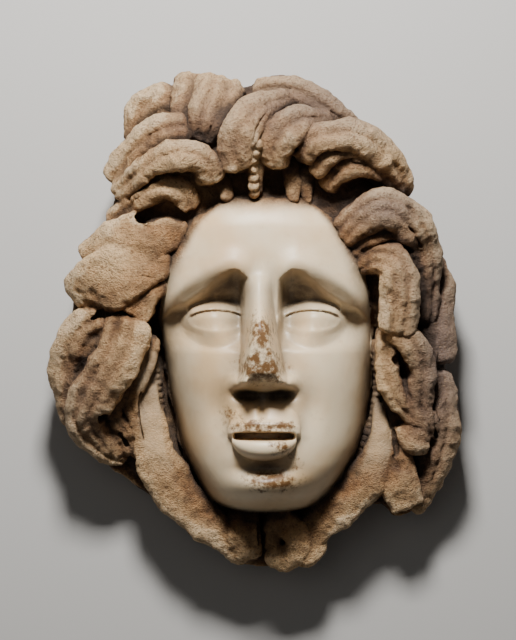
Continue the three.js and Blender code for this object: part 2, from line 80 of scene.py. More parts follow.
# The face's edges, left and right, by grid row: the jaw is a little fuller on the right.
LEFT_EDGE = (
    (-193, -14), (-186, -36), (-175, -51), (-155, -62), (-120, -77), (-97, -82), (-57, -90),
    (-30, -94), (0, -97), (35, -94), (70, -81), (90, -68), (108, -50), (124, -30),
)
RIGHT_EDGE = (
    (-193, 32), (-186, 55), (-175, 69), (-155, 85), (-120, 103), (-97, 108), (-57, 113),
    (-30, 114), (0, 112), (35, 108), (70, 95), (90, 82), (108, 64), (124, 44),
)
# The face's profile down the middle, without the nose, lips and chin.
PROFILE = (
    (-193, 28), (-190, 44), (-183, 57), (-170, 67), (-140, 75), (-60, 76), (20, 76), (55, 79),
    (90, 78), (106, 75), (116, 70), (124, 64),
)
# Height of the face's own edge: down in the channel beside the cheeks, up in the hair over them.
FACE_FOOT = ((-90, 28), (-50, 29), (-20, 35), (20, 50), (60, 62), (100, 64), (124, 62))
ROUNDNESS = 2.15
# The brow: its lower edge and its crest, and how full it is, by distance from the midline.
BROW_EDGE = (
    (10, 38), (20, 45), (28, 50), (38, 47), (48, 40), (58, 31), (68, 24), (80, 18), (92, 12), (104, 4),
)
BROW_CREST = ((16, 50), (30, 55), (75, 35), (100, 20))
BROW_ROUND = 13
BROW_FULLNESS = ((8, 0), (22, 3), (60, 4), (84, 6), (104, 2))
BROW_TURN = ((20, 0.6), (50, 0.9), (80, 1.6))
SOCKET_DEPTH = ((12, 0), (20, 14), (28, 17), (48, 12), (70, 9), (90, 6), (106, 1))
SOCKET_FOOT = -34
# The eye: its row, how far the lids open over and under it, and the ball behind them.
EYE = {
    "row": 0, "top": 10, "bottom": 11, "wide": 36, "high": 20, "under": 28, "swell": 12, "lid": 2.4,
    "fold": 7,
}
# The nose: height over the face, by grid row, as first carved and as broken off, and its half width.
NOSE_HEIGHT = (
    (-76, -20), (-70, 4), (-64, 16), (-58, 28), (-50, 32), (-40, 32), (-8, 24), (14, 15), (36, 6),
    (56, -2),
)
BREAK_HEIGHT = ((-70, 6), (-56, 19), (-50, 22), (-8, 24))
NOSE_HALF_WIDTH = ((-66, 31), (-50, 28), (-30, 24), (-10, 21), (20, 20), (40, 24), (56, 34))
NOSE_MIDDLE = ((-76, 5), (-30, 3), (20, 1))
NOSE_FOOT = 20
NOSE_JOIN = 3
WING = {"side": 22, "row": -62, "wide": 8, "high": 7, "height": 11, "foot": -69}
NOSTRIL = {"side": 17, "row": -74, "wide": 11, "high": 5, "depth": 9}
# Mouth, the groove over it, the cheeks and the chin.
MOUTH = {
    "row": -113.5, "reach": 36, "upper": 30, "lower": 21, "under": 32, "swell": 9, "pout": 11, "slit": 15,
}
LIP_HOLLOW = {"side": 0, "row": -146, "wide": 27, "high": 8, "depth": 6}
PHILTRUM = {"side": -2, "row": -88, "wide": 3.5, "high": 7, "depth": 3}
CHEEKBONE = {"side": 60, "row": -50, "wide": 34, "high": 34, "height": 3}
CHEEK_FOLD = {"side": 44, "row": -84, "wide": 12, "high": 26, "depth": 3}
CHIN = {"side": 0, "row": -164, "wide": 34, "high": 17, "height": 8}

# The block behind the hair: its outline on the grid, clockwise from the crown.
OUTLINE = (
    (8, 240), (26, 243), (50, 234), (78, 211), (98, 184), (126, 165), (142, 140), (158, 98), (172, 66),
    (184, 38), (182, 0), (186, -46), (190, -80), (194, -112), (184, -140), (174, -160), (160, -186),
    (138, -196), (124, -182), (98, -193), (66, -212), (52, -236), (28, -245), (-4, -245), (-28, -232),
    (-42, -214), (-76, -200), (-112, -172), (-140, -152), (-162, -130), (-184, -98), (-193, -60),
    (-184, -20), (-184, 6), (-176, 44), (-160, 80), (-146, 106), (-136, 140), (-116, 160), (-116, 196),
    (-92, 222), (-66, 240), (-48, 244), (-30, 232), (-8, 232),
)
# Heights of the bed between the locks, by grid row: next to the face, at its crest and at its edge.
BED_BY_FACE = ((-200, 24), (-30, 28), (20, 50), (60, 60), (100, 63), (130, 63), (150, 66))
BED_CREST = ((-230, 28), (-150, 34), (-60, 46), (40, 58), (110, 64), (150, 70), (210, 58))
BED_EDGE = ((-100, 0), (120, 2), (220, 12))
# Inside this ellipse the bed lies under the face.
BED_HOLLOW = {"x": 9, "y": -20, "half_x": 104, "half_y": 172}
# How deep the locks are rooted in the bed, and how much of each end is rounded off.
LOCK_ROOT = 20
LOCK_END = 0.06
PATH_SPACING = 1.5 * MM


def lock(half, *path, tips=(0.8, 0.8), thick=0.55, tilt=0):
    """A lock: half width, path of (column, row, height), narrowing at both ends, thickness and tilt."""
    return {"half": half, "path": path, "tips": tips, "thick": thick, "tilt": tilt}


def cut(half, thick, *path):
    """A stroke of the drill."""
    return lock(half, *path, tips=(0.9, 0.9), thick=thick)


# The locks of the hair, by where they grow.
CROWN_LOCKS = {
    "parting_left": lock(18, (-18, 147, 78), (-21, 168, 84), (-15, 187, 86), (0, 204, 81), (30, 217, 68),
        tips=(0.9, 0.6), tilt=8),
    "parting_right": lock(18, (17, 150, 78), (17, 166, 84), (23, 181, 87), (40, 192, 83), (70, 197, 70),
        tips=(0.7, 0.5), tilt=14),
    "fall_inner": lock(22, (-36, 236, 54), (-43, 214, 66), (-50, 194, 71), (-56, 174, 68),
        tips=(1.1, 0.6), thick=0.45),
    "fall_outer": lock(17, (-62, 240, 46), (-68, 218, 57), (-70, 197, 63), (-71, 178, 63),
        tips=(1.1, 0.6), thick=0.5),
    "crown_mass": lock(27, (-6, 216, 58), (28, 214, 64), (56, 199, 65), (90, 178, 58), thick=0.4),
}
LEFT_LOCKS = {
    "wing_stump": lock(20, (-113, 178, 40), (-112, 202, 43), (-97, 214, 45), (-76, 206, 50),
        tips=(0.9, 0.8)),
    "slab": lock(26, (-66, 182, 70), (-94, 176, 68), (-118, 156, 60), (-136, 132, 50), tips=(0.9, 0.9),
        thick=0.35, tilt=-12),
    "arch": lock(14, (-46, 134, 76), (-50, 151, 83), (-64, 160, 85), (-86, 158, 82), (-110, 146, 72),
        (-138, 124, 52), tips=(0.9, 0.9), tilt=-18),
    "arch_inner": lock(12, (-68, 108, 66), (-75, 124, 72), (-92, 130, 73), (-109, 123, 67),
        (-125, 110, 58), (-142, 92, 46), tips=(1, 1.1), tilt=-15),
    "temple_upper": lock(26, (-70, 86, 65), (-102, 84, 67), (-136, 74, 64), (-164, 52, 52),
        tips=(0.6, 0.9), thick=0.4, tilt=-6),
    "temple_lower": lock(30, (-86, 60, 64), (-116, 54, 68), (-148, 38, 65), (-172, 16, 50),
        tips=(0.5, 0.9), thick=0.4, tilt=-6),
    "cheek_root": lock(14, (-96, 40, 62), (-110, 26, 65), (-124, 4, 64), tips=(0.8, 1.1), thick=0.45),
    "cheek_long": lock(23, (-126, 4, 63), (-134, -26, 64), (-148, -52, 61), (-165, -78, 54),
        (-171, -100, 47), (-157, -122, 40), (-130, -140, 33), tips=(1, 0.5), thick=0.45, tilt=-14),
    "cheek_outer": lock(23, (-148, 0, 60), (-172, -16, 54), (-182, -42, 46), (-183, -74, 40),
        (-176, -104, 34), tips=(0.9, 0.7), thick=0.45),
    "cheek_foot": lock(18, (-160, -84, 42), (-148, -110, 40), (-132, -134, 35), thick=0.45),
    "jaw_strand": lock(9, (-105, -16, 54), (-112, -48, 52), (-124, -70, 50), (-142, -84, 47)),
    "jaw_curl_outer": lock(8, (-128, -64, 50), (-143, -86, 49), (-140, -100, 46), (-130, -112, 43),
        (-127, -134, 37), tips=(0.8, 0.9)),
    "jaw_curl_inner": lock(8, (-118, -56, 49), (-126, -84, 47), (-120, -100, 45), (-116, -118, 42),
        (-120, -138, 36), tips=(0.8, 0.9)),
}
RIGHT_LOCKS = {
    "arch": lock(15, (42, 156, 77), (54, 175, 85), (76, 180, 87), (100, 177, 84), (122, 162, 75),
        (138, 142, 63), (145, 120, 50), tips=(0.9, 0.7), tilt=16),
    "arch_middle": lock(9, (56, 142, 74), (66, 157, 81), (84, 165, 82), (104, 162, 79), (122, 147, 70),
        (137, 126, 57), tilt=12),
    "arch_inner": lock(11, (68, 128, 68), (78, 143, 75), (95, 151, 77), (112, 148, 72), (126, 136, 63),
        (140, 114, 52), tips=(0.9, 0.8), tilt=12),
    "brow_sweep": lock(20, (80, 78, 66), (100, 99, 75), (124, 109, 80), (146, 98, 74), (160, 72, 63),
        (166, 38, 54), (166, -6, 46), tips=(0.8, 0.6), thick=0.5, tilt=16),
    "brow_step": lock(11, (86, 64, 65), (106, 78, 71), (128, 85, 72), (148, 77, 66), (158, 54, 58),
        (160, 10, 50), tips=(0.8, 0.6), tilt=10),
    "temple_drop": lock(19, (96, 52, 62), (116, 60, 71), (133, 54, 75), (139, 26, 72), (136, -14, 66),
        tips=(0.6, 0.9), thick=0.5, tilt=8),
    "twist_outer": lock(13, (132, -6, 64), (153, -26, 62), (163, -48, 58), (162, -68, 54), (161, -88, 50),
        (168, -106, 46), (172, -120, 42), tips=(1, 0.8), tilt=8),
    "twist_inner": lock(11, (127, -8, 62), (127, -40, 58), (130, -62, 56), (139, -82, 53), (152, -95, 49),
        (164, -102, 46), tips=(0.9, 0.7), tilt=-8),
    "twist_core": lock(8, (148, -58, 49), (151, -78, 50), (159, -95, 47)),
    "broken_tip": lock(15, (142, -104, 44), (154, -117, 46), (171, -121, 43)),
    "back_upper": lock(16, (172, 64, 36), (180, 36, 42), (178, 0, 43), (178, -44, 42), tips=(0.6, 1),
        thick=0.5),
    "back_lower": lock(19, (176, -50, 42), (180, -80, 42), (181, -112, 39), (174, -140, 33),
        (164, -168, 27), tips=(0.9, 0.9), thick=0.45),
}
SNAKES_AND_KNOT = {
    "snake_left": lock(22, (-107, -40, 42), (-108, -70, 44), (-106, -104, 43), (-100, -138, 41),
        (-84, -168, 39), (-60, -194, 38), (-32, -218, 36), (-6, -238, 32), tips=(0.25, 0.6), thick=0.42),
    "snake_right": lock(21, (119, -82, 42), (122, -108, 43), (118, -138, 41), (104, -162, 39),
        (82, -185, 38), (60, -205, 36), (38, -230, 33), tips=(0.25, 0.6), thick=0.42),
    "tail_strand": lock(9, (139, -106, 45), (143, -130, 43), (150, -154, 39)),
    "tail_stump": lock(18, (128, -134, 37), (140, -161, 38), (150, -188, 34), tips=(0.8, 0.9)),
    "tail_flank": lock(16, (166, -146, 30), (161, -172, 28), (150, -186, 25), tips=(0.9, 0.8)),
    "knot_strand": lock(13, (-20, -192, 32), (-19, -214, 38), (-10, -236, 34)),
    "knot_inner": lock(9, (-6, -192, 32), (-7, -214, 38), (-4, -238, 33)),
    "knot_loop": lock(13, (8, -200, 35), (28, -205, 38), (40, -221, 38), (28, -238, 34), (10, -230, 36),
        tips=(0.9, 0.9)),
    "knot_core": lock(12, (8, -216, 34), (24, -220, 35), tips=(0.9, 0.9)),
    "knot_end": lock(12, (36, -238, 32), (50, -231, 34), (60, -216, 31)),
}
HAIRLINE_STRUTS = {
    "strut_left": lock(7, (-44, 158, 68), (-35, 138, 66), (-30, 118, 70), tips=(0.9, 0.6)),
    "strut_middle": lock(6, (-1, 122, 66), (-2, 152, 76), (2, 182, 82), (20, 206, 77), tips=(0.8, 0.6)),
    "strut_right": lock(7, (32, 160, 70), (33, 138, 68), (36, 114, 70), tips=(0.8, 0.6)),
    "strut_far": lock(6, (50, 152, 70), (46, 136, 66), (50, 112, 68), tips=(0.8, 0.6)),
}
# What the drill took out: pockets under the locks' ends and the dark slots between them.
DRILL_CUTS = {
    "recess_left": cut(8, 0.9, (-34, 135, 72), (-8, 138, 72)),
    "recess_right": cut(8, 0.9, (8, 138, 72), (30, 137, 72)),
    "pocket_left": cut(7, 1.2, (-66, 122, 76), (-44, 124, 74)),
    "parting": cut(3, 2.2, (-7, 158, 92), (-2, 184, 93), (10, 203, 89), (32, 213, 78)),
    "under_arch_left": cut(4.5, 2, (-56, 128, 80), (-66, 143, 80), (-84, 146, 80), (-104, 136, 72),
        (-128, 118, 60)),
    "under_inner_left": cut(9, 1.6, (-70, 96, 72), (-88, 106, 70), (-108, 104, 66), (-124, 92, 60)),
    "over_parting_right": cut(4, 2, (36, 162, 82), (46, 178, 80), (70, 188, 74)),
    "under_arch_right": cut(6, 1.6, (82, 126, 68), (100, 136, 70), (116, 134, 68), (132, 118, 60)),
    "under_brow_sweep": cut(3.5, 2.6, (98, 64, 74), (118, 74, 78), (136, 76, 76), (152, 66, 68)),
    "right_of_face": cut(5, 2.4, (112, 38, 66), (115, 12, 54), (119, -20, 48)),
    "left_of_face": cut(4, 2.6, (-101, 20, 62), (-99, -8, 52), (-99, -34, 44)),
    "right_slot": cut(4, 2, (135, -106, 46), (138, -138, 44)),
    "below_temple": cut(5, 1.4, (-186, -4, 48), (-164, 2, 58), (-146, 10, 64)),
    "inside_cheek_curl": cut(7, 1.4, (-160, -98, 54), (-148, -92, 52)),
    "inside_twist": cut(7, 1.6, (134, -34, 64), (147, -50, 60)),
    "right_hole": cut(4, 1.6, (172, -48, 46), (186, -50, 44)),
    "knot_groove": cut(3, 2, (1, -198, 38), (1, -228, 40)),
}
# Finer slots that the drill left between the locks.
FINE_CUTS = {
    "above_temple": cut(4, 1.4, (62, 108, 70), (82, 112, 70)),
    "between_arches": cut(2.5, 2.4, (52, 146, 80), (62, 163, 86), (82, 172, 87), (106, 168, 82),
        (128, 150, 70)),
    "inside_arches": cut(2, 2.4, (66, 142, 80), (80, 155, 82), (98, 158, 81), (116, 148, 74)),
    "along_brow_sweep": cut(2, 2.4, (98, 80, 78), (122, 95, 80), (148, 89, 76), (161, 70, 68)),
    "temple_slit": cut(2.5, 2, (-116, 44, 76), (-90, 39, 72)),
    "outer_hole": cut(3.5, 1.6, (-174, -62, 52), (-166, -54, 58)),
    "under_cheek_curl": cut(3.5, 1.8, (-138, -110, 46), (-128, -128, 42)),
    "beside_snake": cut(2.5, 2, (-112, -52, 52), (-119, -86, 48), (-114, -122, 45)),
    "beside_twist": cut(2.5, 2.4, (168, -24, 56), (175, -58, 50), (171, -88, 48), (178, -120, 44)),
}
# Rows of beads that the drill left standing: left and right in the channel, and at the parting.
BEAD_ROWS = (
    (
        ((-102, -44, 42), (-99, -70, 38), (-96, -98, 35), (-88, -126, 33), (-77, -148, 32), (-58, -172, 30)),
        {},
    ),
    (
        ((117, -24, 42), (119, -60, 38), (114, -98, 35), (105, -124, 33), (96, -144, 32), (80, -168, 30)),
        {},
    ),
    (
        ((-4, 124, 70), (-4, 140, 76), (-3, 156, 81), (1, 170, 84)),
        {"Spacing": 4.4 * MM, "Bead radius": 2.5 * MM},
    ),
)
# Brown stains on the face: column, row, half width, half height, strength.
STAINS = (
    (3, -14, 12, 20, 1.3), (3, -46, 22, 16, 1.5), (-4, -104, 26, 7, 1.3), (26, -104, 14, 6, 1.1),
    (13, -157, 24, 10, 1.5), (-28, -94, 12, 8, 0.8), (22, -124, 10, 10, 1.0), (37, -140, 7, 9, 0.7),
)
# Painted shade in the hollows of the face: both sockets, under the nose and under the lower lip.
FACE_PAINTED_SHADE = (
    (-34, 30, 36, 26, 0.55), (46, 30, 36, 26, 0.5), (6, -75, 34, 9, 0.6), (5, -145, 30, 9, 0.55),
)
SNAKE_POLISH = 0.55
# Locks that are worn down to lumps, with no strands left on them.
WORN_LOCKS = ("temple_upper", "temple_lower")
# Half width of one strand, and how much of its round back stands over the lock.
STRAND_HALF_WIDTH = 7.5
STRAND_LEVEL = 0.6
# Where the broken stone is neither raised nor lowered, in the texture that breaks it.
BREAK_LEVEL = 0.66
# Pale places in the hair: column, row, half width, half height, strength.
PALE_PATCHES = (
    (-147, 62, 40, 34, 0.9), (-78, 132, 60, 22, 0.8), (-108, 215, 22, 24, 0.5), (104, 172, 34, 18, 0.7),
    (-2, 160, 8, 50, 1.0), (66, 196, 30, 14, 0.3), (-140, -60, 24, 40, 0.5), (120, -20, 14, 50, 0.6),
)
# Grey-brown places in the hair, in the same order.
ASHEN_PATCHES = (
    (182, -30, 34, 130, 1.0), (70, 214, 120, 44, 0.8), (-45, 200, 60, 60, 0.5), (-176, -90, 40, 70, 0.4),
    (150, 60, 30, 60, 0.5), (126, 108, 44, 26, 0.9),
)
# Rows and columns of the carved face, rings of the block, and the fewest points of a whole mask.
FACE_ROWS = 420
FACE_COLUMNS = 300
BED_RINGS = 28
FEWEST_POINTS = 1000

# The picture's height in grid steps at the level of the mask's outline, seen from straight above.
IMAGE_ROWS = 640
OUTLINE_LEVEL = 30 * MM
CAMERA_HEIGHT = 2.0
FLOOR_HALF = 3.0
FLOOR_COLOUR = "#C4C1BC"
WORLD_LIGHT = 0.055
# Each light: name, place, size in metres and power in watts.
LIGHTS = (("key", (-0.03, 0.57, 0.6), 0.16, 13), ("fill", (-0.5, 0.2, 1.5), 0.9, 0.9))


def ease(low, high, value):
    """0 below low, 1 above high, with a soft start and end between them."""
    t = np.clip((value - low) / (high - low), 0, 1)
    return t * t * (3 - 2 * t)


def mix(a, b, share):
    return a + (b - a) * share


def hill(offset, radius):
    return np.exp(-((offset / radius) ** 2))


def along(pairs, at):
    """Values read off a list of (place, value), on a smooth line that never overshoots them."""
    places, values = np.array(pairs, float).T
    gaps = np.diff(places)
    slopes = np.diff(values) / gaps
    product = slopes[:-1] * slopes[1:]
    total = slopes[:-1] + slopes[1:]
    inner = np.where(product > 0, 2 * product / np.where(product > 0, total, 1), 0)
    leans = np.concatenate([[0], inner, [0]])
    at = np.clip(at, places[0], places[-1])
    span = np.clip(np.searchsorted(places, at) - 1, 0, len(gaps) - 1)
    gap = gaps[span]
    t = (at - places[span]) / gap
    rest = 1 - t
    start = values[span] * (1 + 2 * t) + leans[span] * gap * t
    end = values[span + 1] * (1 + 2 * rest) - leans[span + 1] * gap * rest
    return start * rest**2 + end * t**2


def dome(across, up):
    """1 in the middle and 0 at the rim of a half ball."""
    return np.sqrt(np.clip(1 - across**2 - up**2, 0, 1))


def lid_arc(side):
    """How open the eye is at a distance from the midline: 1 in its middle, 0 at its corners."""
    return dome((side - EYE_GAP / 2 / STEP) / (EYE_WIDTH / 2 / STEP), 0)


def eye_height(side, row):
    """The ball of the eye with its lids, over the ground of the socket."""
    arc = lid_arc(side)
    over = row - EYE["row"]
    dx = side - EYE_GAP / 2 / STEP
    ball = dome(dx / EYE["wide"], over / np.where(over < 0, EYE["under"], EYE["high"]))
    ball = EYE["swell"] * ball ** (2 + ease(0, 14, -over))
    past_upper = over - EYE["top"] * arc
    past_lower = -over - EYE["bottom"] * arc
    upper = ease(-1, 0.6, past_upper) * (1 - ease(EYE["fold"] * 0.6, EYE["fold"] * 1.3, past_upper))
    lower = ease(-3, 0, past_lower) * (1 - ease(1, 7, past_lower))
    reach = EYE_WIDTH / 2 / STEP
    ends = 1 - ease(reach * 0.8, reach * 1.05, np.abs(dx))
    return ball + EYE["lid"] * ends * (upper + 0.25 * lower)


def socket_drop(side, row):
    """How far the ground of the eye socket lies behind the face."""
    edge = along(BROW_EDGE, side)
    crease = EYE["row"] + EYE["top"] * lid_arc(side) + EYE["fold"]
    turn = np.clip((edge - row) / np.maximum(edge - crease, 6), 0, 1) ** along(BROW_TURN, side)
    return along(SOCKET_DEPTH, side) * turn * ease(SOCKET_FOOT, EYE["row"], row)


def mouth_height(x, row):
    """Both lips, the slit between them and the hollow over the chin."""
    over = row - MOUTH["row"]
    slit_width = MOUTH_WIDTH / 2 / STEP
    slit_height = MOUTH_GAP / 2 / STEP
    arc = dome(x / MOUTH["reach"], 0)
    up = np.clip((over - slit_height) / (MOUTH["upper"] * arc**0.6 + 0.01), 0, 1)
    upper = MOUTH["swell"] * arc**0.6 * ((1 - up) ** 0.7 + 0.12 * hill(up - 0.3, 0.1))
    low_arc = dome(x / MOUTH["under"], 0)
    down = np.clip((-over - slit_height) / (MOUTH["lower"] * low_arc + 0.01), 0, 1)
    lower = MOUTH["pout"] * low_arc**0.6 * dome(0, 1.6 * down - 0.6)
    lips = mix(lower, upper, ease(-slit_height, slit_height, over))
    opening = slit_height * dome(x / slit_width, 0) ** 0.3 + 0.01
    slit = ease(0, 0.1, 1 - np.abs(x) / slit_width) * ease(-0.5, 0.4, 1 - np.abs(over) / opening)
    return lips - LIP_HOLLOW["depth"] * spot(x, row, LIP_HOLLOW) - MOUTH["slit"] * slit


def joined(a, b, soft):
    """The higher of two heights, with a soft crease between them."""
    share = np.clip(0.5 + (a - b) / (2 * soft), 0, 1)
    return mix(b, a, share) + soft * share * (1 - share)


def edge_share(x, row):
    """0 on the middle of the face, 1 on its edge."""
    left = along(LEFT_EDGE, row)
    right = along(RIGHT_EDGE, row)
    return np.abs((2 * x - left - right) / (right - left))


def spot(side, row, form):
    """A soft round rise, by its place and half sizes."""
    return hill(side - form["side"], form["wide"]) * hill(row - form["row"], form["high"])


def face_height(x, row):
    """Height of the face over the back, in hundredths of the depth, at grid places."""
    off = np.clip(edge_share(x, row), 0, 1)
    foot = along(FACE_FOOT, row)
    base = foot + (along(PROFILE, row) - foot) * (1 - off**ROUNDNESS) ** (1 / ROUNDNESS)
    side = np.abs(x - MIDLINE)
    fullness = along(BROW_FULLNESS, side) * hill(row - along(BROW_CREST, side), BROW_ROUND)
    fold = CHEEK_FOLD["depth"] * spot(side, row, CHEEK_FOLD)
    cheek = CHEEKBONE["height"] * spot(side, row, CHEEKBONE) - fold
    skin = base + fullness - socket_drop(side, row) + eye_height(side, row) + cheek
    skin += CHIN["height"] * spot(side, row, CHIN) + mouth_height(x - MIDLINE, row)

    share = np.clip(np.abs(x - along(NOSE_MIDDLE, row)) / along(NOSE_HALF_WIDTH, row), 0, 1)
    carved = (along(NOSE_HEIGHT, row) + NOSE_FOOT) * (1 - share**2) ** 0.8 - NOSE_FOOT
    nose = base + np.minimum(carved, along(BREAK_HEIGHT, row))
    wing = WING["height"] * spot(side, row, WING) * ease(WING["foot"] - 2, WING["foot"] + 2, row)
    nostril = NOSTRIL["depth"] * spot(side, row, NOSTRIL)
    philtrum = PHILTRUM["depth"] * spot(x - MIDLINE, row, PHILTRUM)
    return joined(skin, nose, NOSE_JOIN) + wing - nostril - philtrum


def smooth_path(points, per_span, closed=False):
    """A centripetal Catmull-Rom curve through the points, with even steps on each span."""
    points = np.array(points, float)
    if closed:
        padded = np.vstack([points[-1], points, points[:2]])
    else:
        padded = np.vstack([2 * points[0] - points[1], points, 2 * points[-1] - points[-2]])
    t = (np.arange(per_span) / per_span)[:, None]
    spans = []
    for i in range(len(padded) - 3):
        before, start, end, after = padded[i : i + 4]
        sides = (start - before, end - start, after - end)
        gap_in, gap, gap_out = (np.linalg.norm(side) ** 0.5 for side in sides)
        leave = (start - before) / gap_in - (end - before) / (gap_in + gap) + (end - start) / gap
        arrive = (end - start) / gap - (after - start) / (gap + gap_out) + (after - end) / gap_out
        leave, arrive = leave * gap, arrive * gap
        bend = 2 * start - 2 * end + leave + arrive
        turn = -3 * start + 3 * end - 2 * leave - arrive
        spans.append(start + leave * t + turn * t**2 + bend * t**3)
    if not closed:
        spans.append(padded[-2][None])
    return np.vstack(spans)


def even_path(points, spacing):
    """The smooth path through grid points, in metres, with points this far apart along it."""
    scale = np.array((STEP, STEP, RISE))
    fine = smooth_path(np.array(points, float) * scale, 24)
    run = np.concatenate([[0], np.cumsum(np.linalg.norm(np.diff(fine, axis=0), axis=1))])
    count = max(8, round(run[-1] / spacing))
    at = np.linspace(0, run[-1], count)
    return np.column_stack([np.interp(at, run, fine[:, axis]) for axis in range(3)])


def lock_widths(count, half, tips):
    """Half width of a lock at each point: full in the middle, narrower and rounded at its ends."""
    share = np.linspace(0, 1, count)
    start = mix(tips[0], 1, ease(0, 0.5, share))
    belly = np.where(share < 0.5, start, mix(1, tips[1], ease(0.5, 1, share)))
    nearest = np.minimum(np.minimum(share, 1 - share), LOCK_END)
    cap = np.sqrt(np.clip(1 - (1 - nearest / LOCK_END) ** 2, 0, 1))
    return half * STEP * belly * np.maximum(cap, 0.02)


class Nodes:
    """Writes a node tree: each method adds a node and gives its outputs, or the one that is used."""

    def __init__(self, tree):
        self.tree = tree

    def fill(self, socket, source):
        """Joins an input to an output, or gives it a value."""
        if isinstance(source, NodeSocket):
            self.tree.links.new(source, socket)
        else:
            socket.default_value = source

    def add(self, kind, links=(), **settings):
        node = self.tree.nodes.new(kind)
        for name, value in settings.items():
            setattr(node, name, value)
        for name, source in dict(links).items():
            self.fill(node.inputs[name], source)
        return node.outputs

    def math(self, operation, *values):
        return self.add("ShaderNodeMath", dict(enumerate(values)), operation=operation)[0]

    def times(self, first, second):
        return self.math("MULTIPLY", first, second)

    def step(self, value, low, high, first=0.0, last=1.0):
        """A value eased from one level to another."""
        links = {"Value": value, "From Min": low, "From Max": high, "To Min": first, "To Max": last}
        return self.add("ShaderNodeMapRange", links, interpolation_type="SMOOTHSTEP")[0]

    def mix(self, share, first, second):
        """A colour between two others."""
        return self.add("ShaderNodeMix", {0: share, 6: first, 7: second}, data_type="RGBA")[2]


def geometry_nodes(name, inputs):
    """A new Geometry Nodes tree with named inputs: its writer, and the outputs of its group input."""
    tree = bpy.data.node_groups.new(name, "GeometryNodeTree")
    sockets = tree.interface
    sockets.new_socket("Geometry", in_out="INPUT", socket_type="NodeSocketGeometry")
    for label, value in inputs.items():
        kind = "NodeSocketInt" if isinstance(value, int) else "NodeSocketFloat"
        sockets.new_socket(label, in_out="INPUT", socket_type=kind).default_value = value
    sockets.new_socket("Material", in_out="INPUT", socket_type="NodeSocketMaterial")
    sockets.new_socket("Geometry", in_out="OUTPUT", socket_type="NodeSocketGeometry")
    return Nodes(tree), tree.nodes.new("NodeGroupInput").outputs


def finished(nodes, given, geometry):
    """Ends a tree in Realize Instances and Set Material."""
    real = nodes.add("GeometryNodeRealizeInstances", {"Geometry": geometry})[0]
    coated = nodes.add("GeometryNodeSetMaterial", {"Geometry": real, "Material": given["Material"]})[0]
    nodes.add("NodeGroupOutput", {"Geometry": coated})
    return nodes.tree


def lock_tree():
    """Sweeps an oval section of round strands along a curve, with its underside let down to the bed."""
    inputs = {
        "Sides": 48,
        "Thickness": 0.55,
        "Squareness": 0.7,
        "Tilt": 0.0,
        "Strands": 3,
        "Strand depth": 0.1,
        "Root height": LOCK_ROOT * RISE,
        "Rooted": 1.0,
    }
    nodes, given = geometry_nodes("Carved lock", inputs)
    x, y, z = nodes.add("ShaderNodeSeparateXYZ", {0: nodes.add("GeometryNodeInputPosition")[0]})
    girth = nodes.add("GeometryNodeInputRadius")[0]
    level = nodes.add("GeometryNodeSetCurveNormal", {"Curve": given["Geometry"]}, mode="Z_UP")[0]
    ring = {"Resolution": given["Sides"], "Radius": 1.0}
    circle = nodes.add("GeometryNodeCurvePrimitiveCircle", ring, mode="RADIUS")[0]
    mark = {"Geometry": circle, "Name": "section_drop", "Value": y}
    marked = nodes.add("GeometryNodeStoreNamedAttribute", mark)[0]
    across = nodes.times(nodes.math("ADD", x, 1.0), math.pi / 2)
    wave = nodes.math("SINE", nodes.times(across, given["Strands"]))
    round_strand = nodes.math("SUBTRACT", nodes.math("ABSOLUTE", wave), STRAND_LEVEL)
    strand = nodes.times(round_strand, given["Strand depth"])
    tall = nodes.math("ADD", given["Thickness"], strand)
    flat = nodes.math("POWER", nodes.math("ABSOLUTE", y), given["Squareness"])
    flat = nodes.times(flat, nodes.math("SIGN", y))
    section = nodes.add("ShaderNodeCombineXYZ", {0: x, 1: nodes.times(flat, tall), 2: 0.0})[0]
    turn = {"Vector": section, "Angle": nodes.times(given["Tilt"], -1.0)}
    tilted = nodes.add("ShaderNodeVectorRotate", turn, rotation_type="Z_AXIS")[0]
    oval = nodes.add("GeometryNodeSetPosition", {"Geometry": marked, "Position": tilted})[0]
    sweep = {"Curve": level, "Profile Curve": oval, "Scale": girth, "Fill Caps": True}
    swept_lock = nodes.add("GeometryNodeCurveToMesh", sweep)[0]
    under = nodes.add("GeometryNodeInputNamedAttribute", {"Name": "section_drop"})[0]
    rooted = nodes.times(nodes.step(under, 0.0, 0.75), given["Rooted"])
    fall = nodes.times(nodes.math("SUBTRACT", given["Root height"], z), rooted)
    offset = nodes.add("ShaderNodeCombineXYZ", {0: 0.0, 1: 0.0, 2: fall})[0]
    stood = nodes.add("GeometryNodeSetPosition", {"Geometry": swept_lock, "Offset": offset})[0]
    return finished(nodes, given, stood)


def bead_row_tree():
    """A row of low beads along a curve, each let deep into the stone under it."""
    inputs = {"Spacing": 3.6 * MM, "Bead radius": 2.0 * MM, "Bead depth": 5 * MM}
    nodes, given = geometry_nodes("Bead row", inputs)
    row = {"Curve": given["Geometry"], "Length": given["Spacing"]}
    marks = nodes.add("GeometryNodeResampleCurve", row, mode="LENGTH")[0]
    ball = nodes.add("GeometryNodeMeshIcoSphere", {"Radius": 1.0, "Subdivisions": 3})[0]
    radius = given["Bead radius"]
    size = nodes.add("ShaderNodeCombineXYZ", {0: radius, 1: radius, 2: given["Bead depth"]})[0]
    beads = nodes.add("GeometryNodeInstanceOnPoints", {"Points": marks, "Instance": ball, "Scale": size})[0]
    return finished(nodes, given, beads)


